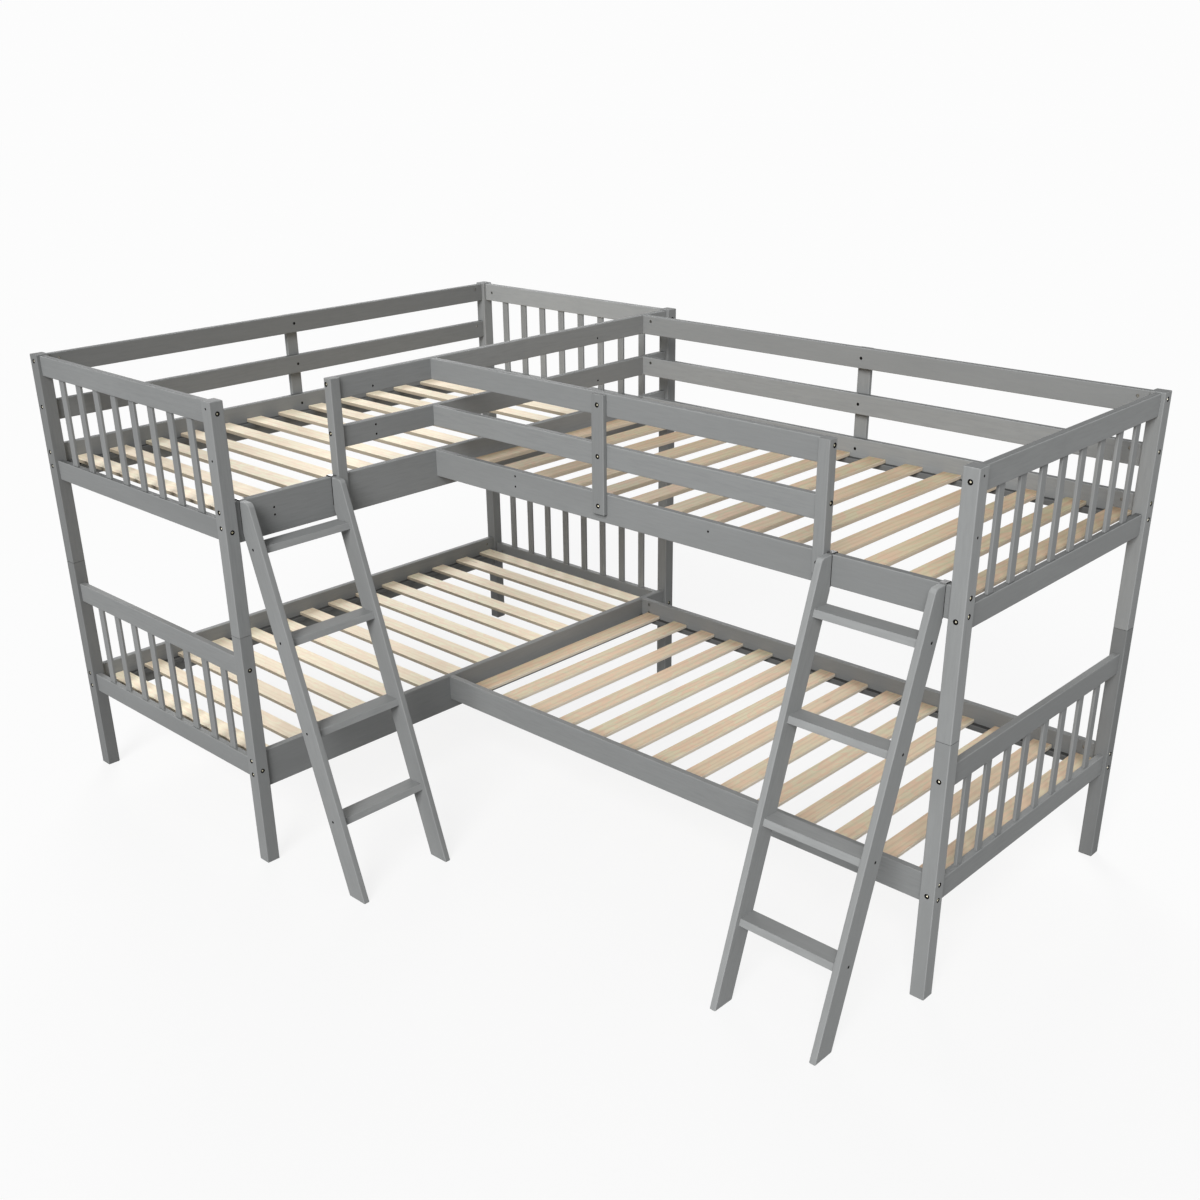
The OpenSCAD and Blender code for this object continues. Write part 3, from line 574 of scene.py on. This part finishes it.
def saw_pine(name, early, late, rosy, side_light_and_shade):
    """Bare pine from the colours of its early and late growth and its flush, with painted light
    and shade on its narrow sides.
    """
    made, tree, wood = new_material(name)
    fibres = grain_pattern(tree, FIBRES, 3)
    flush = grain_pattern(tree, FLUSHES, 4, distortion=1.2)
    facing = stored_value(tree, "facing")
    tone = blend(tree, times(tree, stored_value(tree, "shade"), 0.5), early, rosy)
    flushed = blend(tree, spread(tree, flush, 0.42, 0.58), tone, rosy)
    ringed = blend(tree, spread(tree, growth_rings(tree), 0.5, 1.0, 0.0, 0.22), flushed, late)
    fibred = blend(tree, spread(tree, fibres, 0.45, 0.8, 0.0, 0.3), ringed, late)
    knotted = blend(tree, spread(tree, from_knot(tree), 0.025, 0.07, 0.45, 0.0), fibred, KNOT)
    # Narrow sides get painted shade on the palest deck and painted light on the others.
    sides_lit_and_shaded = blend(tree, times(tree, narrow_sides(tree, facing), 0.85), knotted, side_light_and_shade)
    ended = blend(tree, spread(tree, facing, 1.5, 1.6, 0.0, 0.5), sides_lit_and_shaded, early)
    tree.links.new(ended, wood.inputs["Base Color"])
    wood.inputs["Roughness"].default_value = 0.62
    wood.inputs["Specular IOR Level"].default_value = 0.3
    ripple(tree, wood, fibres, 0.0005)
    return made


pale_pine = saw_pine("pale_pine", early=(0.95, 0.90, 0.69), late=(0.74, 0.58, 0.38),
                     rosy=(0.94, 0.79, 0.61), side_light_and_shade=(0.34, 0.29, 0.22))
straw_pine = saw_pine("straw_pine", early=(0.69, 0.64, 0.45), late=(0.43, 0.32, 0.20),
                      rosy=(0.75, 0.55, 0.39), side_light_and_shade=(0.86, 0.78, 0.65))
tan_pine = saw_pine("tan_pine", early=(0.50, 0.46, 0.29), late=(0.29, 0.22, 0.13),
                    rosy=(0.56, 0.39, 0.26), side_light_and_shade=(0.70, 0.60, 0.47))
print("pine:", pale_pine.name, straw_pine.name, tan_pine.name)

# %% [markdown]
# ## Steel
# The bolt heads are yellow zinc. Their outer part is painted near black, a painted shadow of the
# counterbores they sit in, and their middles are pale, a painted highlight with a touch of
# yellow.
# So the finish has to know how far a point lies from the middle of its own bolt. Each corner
# stores that distance. The ladders' hooks are bent from plated strip, and one set of their faces
# is painted near black as painted shade, for the dark gap between hook and rail. A fine mottle in
# colour and sheen finishes both.

# %% Make the steels
MOTTLES = 350  # changes in a metre
# near black: painted shade of the counterbore round each bolt head
PAINTED_RING_SHADE = (0.020, 0.020, 0.019)
# near black: painted shade on the hooks, for the gap between hook and rail
PAINTED_GAP_SHADE = (0.05, 0.05, 0.05)


def steel(name, colour, mottled, roughness, second=None, map_name="", low=0.0, high=1.0):
    """A mottled metal; a second colour takes over as the stored map goes from low to high."""
    made, tree, metal = new_material(name)
    metal.inputs["Metallic"].default_value = 1.0
    where = add(tree, "ShaderNodeTexCoord")
    noise = add(tree, "ShaderNodeTexNoise", {"Scale": MOTTLES, "Detail": 3})
    tree.links.new(where.outputs["Object"], noise.inputs["Vector"])
    mottle = noise.outputs["Fac"]
    colours = blend(tree, spread(tree, mottle, 0.35, 0.65), colour, mottled)
    if second is not None:
        amount = spread(tree, stored_value(tree, map_name), low, high)
        colours = blend(tree, amount, colours, second)
    tree.links.new(colours, metal.inputs["Base Color"])
    sheen = spread(tree, mottle, 0.3, 0.7, roughness - 0.08, roughness + 0.1)
    tree.links.new(sheen, metal.inputs["Roughness"])
    return made


dull_zinc = steel("dull_zinc", (0.22, 0.21, 0.19), (0.34, 0.33, 0.30), 0.38)
# The black outer part is painted shade; the pale middle is a painted highlight on yellow zinc.
black_bolts = steel("black_bolts", (0.74, 0.70, 0.55), (0.88, 0.85, 0.74), 0.30,
                    PAINTED_RING_SHADE, "from_axis", 0.0024, 0.0030)
# The hooks' near-black faces are painted shade.
hook_zinc = steel("hook_zinc", (0.15, 0.15, 0.15), (0.24, 0.24, 0.24), 0.40,
                  PAINTED_GAP_SHADE, "facing", 0.5, 0.4)
print("steels:", dull_zinc.name, black_bolts.name, hook_zinc.name)

# %% A helper that dresses bolts
BOLT_MERGE = 1e-6  # finer than for boards, because a bolt's socket is small
BOLT_CREASE = math.radians(30)


def dress_bolts(node):
    """Replaces a node of bolts by a copy that stores the distance from each bolt's middle."""
    shape = bmesh.new()
    shape.from_mesh(frame["nodes"][node].data)
    bmesh.ops.remove_doubles(shape, verts=shape.verts, dist=BOLT_MERGE)
    from_axis = shape.verts.layers.float.new("from_axis")
    for group in separate_boards(shape):
        low, high = box_of(group)
        size = high - low
        length = max(range(3), key=lambda k: size[k])
        for corner in group:
            off = corner.co - (low + high) / 2
            off[length] = 0.0
            corner[from_axis] = off.length
    stand_in(shape, node, "_steel", black_bolts, BOLT_CREASE)


print("bolt helper ready")

# %% [markdown]
# ## Dress the frame
# Posts, rails, spindles, stiles and ledgers are all painted, and all get soft edges, the posts
# the widest. A number that differs from node to node keeps two nodes from starting with the
# same grain. Each node takes the first paint in the list whose words are in its name; the darker
# and lighter copies in that list are painted shade and painted light.

# %% Paint the frame
FASTENERS = ("frame_bolts", "barrel_nuts", "stile_bolts", "post_pins")
POST_EDGE, BOARD_EDGE, SLAT_EDGE = 0.0022, 0.0012, 0.001  # metres
BOARD_SEEDS = 17  # more than a node has boards, so no two boards share a number

# Darker copies are painted shade and lighter ones painted light; the ledgers' copy is the
# darkest.
paints_in_light_and_shade = (("ledger", ledger_painted_shade), ("front_left_post", grey_in_painted_shade),
           ("left_outer_guard", grey_in_painted_shade), ("end_back_post_lower", grey_in_painted_shade),
           ("end_front_post", grey_in_bright_painted_light), ("back_panel_upper_rails", grey_in_bright_painted_light),
           ("front_inner_post", grey_in_painted_light), ("lower", low_grey),
           ("right", grey_in_painted_light), ("end_", grey_in_painted_light), ("", mid_grey))
painted_nodes = [node for node in frame["nodes"]
                 if body_of_node[node] == "bed_frame"
                 and "slats" not in node and node not in FASTENERS]
for number, node in enumerate(painted_nodes):
    dress(node, next(paint for words, paint in paints_in_light_and_shade if words in node),
          soften=POST_EDGE if "post" in node else BOARD_EDGE, seed=BOARD_SEEDS * number)
print("painted:", len(painted_nodes), "nodes")

# %% Lay the slats
FIRST_SLAT, SLAT_SEEDS = 900, 31

slat_nodes = [node for node in frame["nodes"] if "slats" in node]
for number, node in enumerate(slat_nodes):
    pine = pale_pine if "left" in node else straw_pine if "lower" in node else tan_pine
    dress(node, pine, soften=SLAT_EDGE, seed=FIRST_SLAT + SLAT_SEEDS * number)
print("decks of pine slats:", len(slat_nodes))

# %% [markdown]
# ## The ladders
# A stringer leans, so its grain leans too: the map is turned to the stringer's slope. Its long
# edges are sharp in the frame and get a wider rounding than the boards that have one already.

# %% Paint the ladders
RUN, RISE = 0.361 - 0.0033, 1.110  # how far a stringer reaches out and up, in metres
STRINGER_EDGE, HOOK_EDGE = 0.0025, 0.0006
FIRST_STRINGER, FIRST_RUNG, RUNG_SEEDS, FIRST_HOOK = 2000, 2100, 7, 2200

slopes = {"left": Vector((-RUN / RISE, 0, 1)).normalized(),
          "right": Vector((0, RUN / RISE, 1)).normalized()}
ladder_nodes = [node for node in frame["nodes"] if body_of_node[node] != "bed_frame"]
for number, node in enumerate(ladder_nodes):
    side = node.split("_")[0]
    if "stringer" in node:
        dress(node, ladder_paints_in_light[side], soften=STRINGER_EDGE,
              seed=FIRST_STRINGER + number, along=slopes[side])
    elif "rungs" in node:
        dress(node, ladder_paints_in_light[side], soften=BOARD_EDGE,
              seed=FIRST_RUNG + RUNG_SEEDS * number)
    elif "hooks" in node:
        dress(node, hook_zinc, soften=HOOK_EDGE, seed=FIRST_HOOK + number)
print("ladders:", len(ladder_nodes), "nodes")

# %% [markdown]
# ## The fasteners
# Bolts and screws have their true shapes in the frame, down to the hexagon in each head, so a
# copy of them only adds the stored distance. Nuts and pins stay as they are and get their steel.

# %% Plate the fasteners
for node in ("frame_bolts", "stile_bolts", "left_ladder_screws", "right_ladder_screws"):
    dress_bolts(node)
for node in ("barrel_nuts", "post_pins"):
    for slot in frame["nodes"][node].material_slots:
        slot.material = dull_zinc
print("fasteners plated")
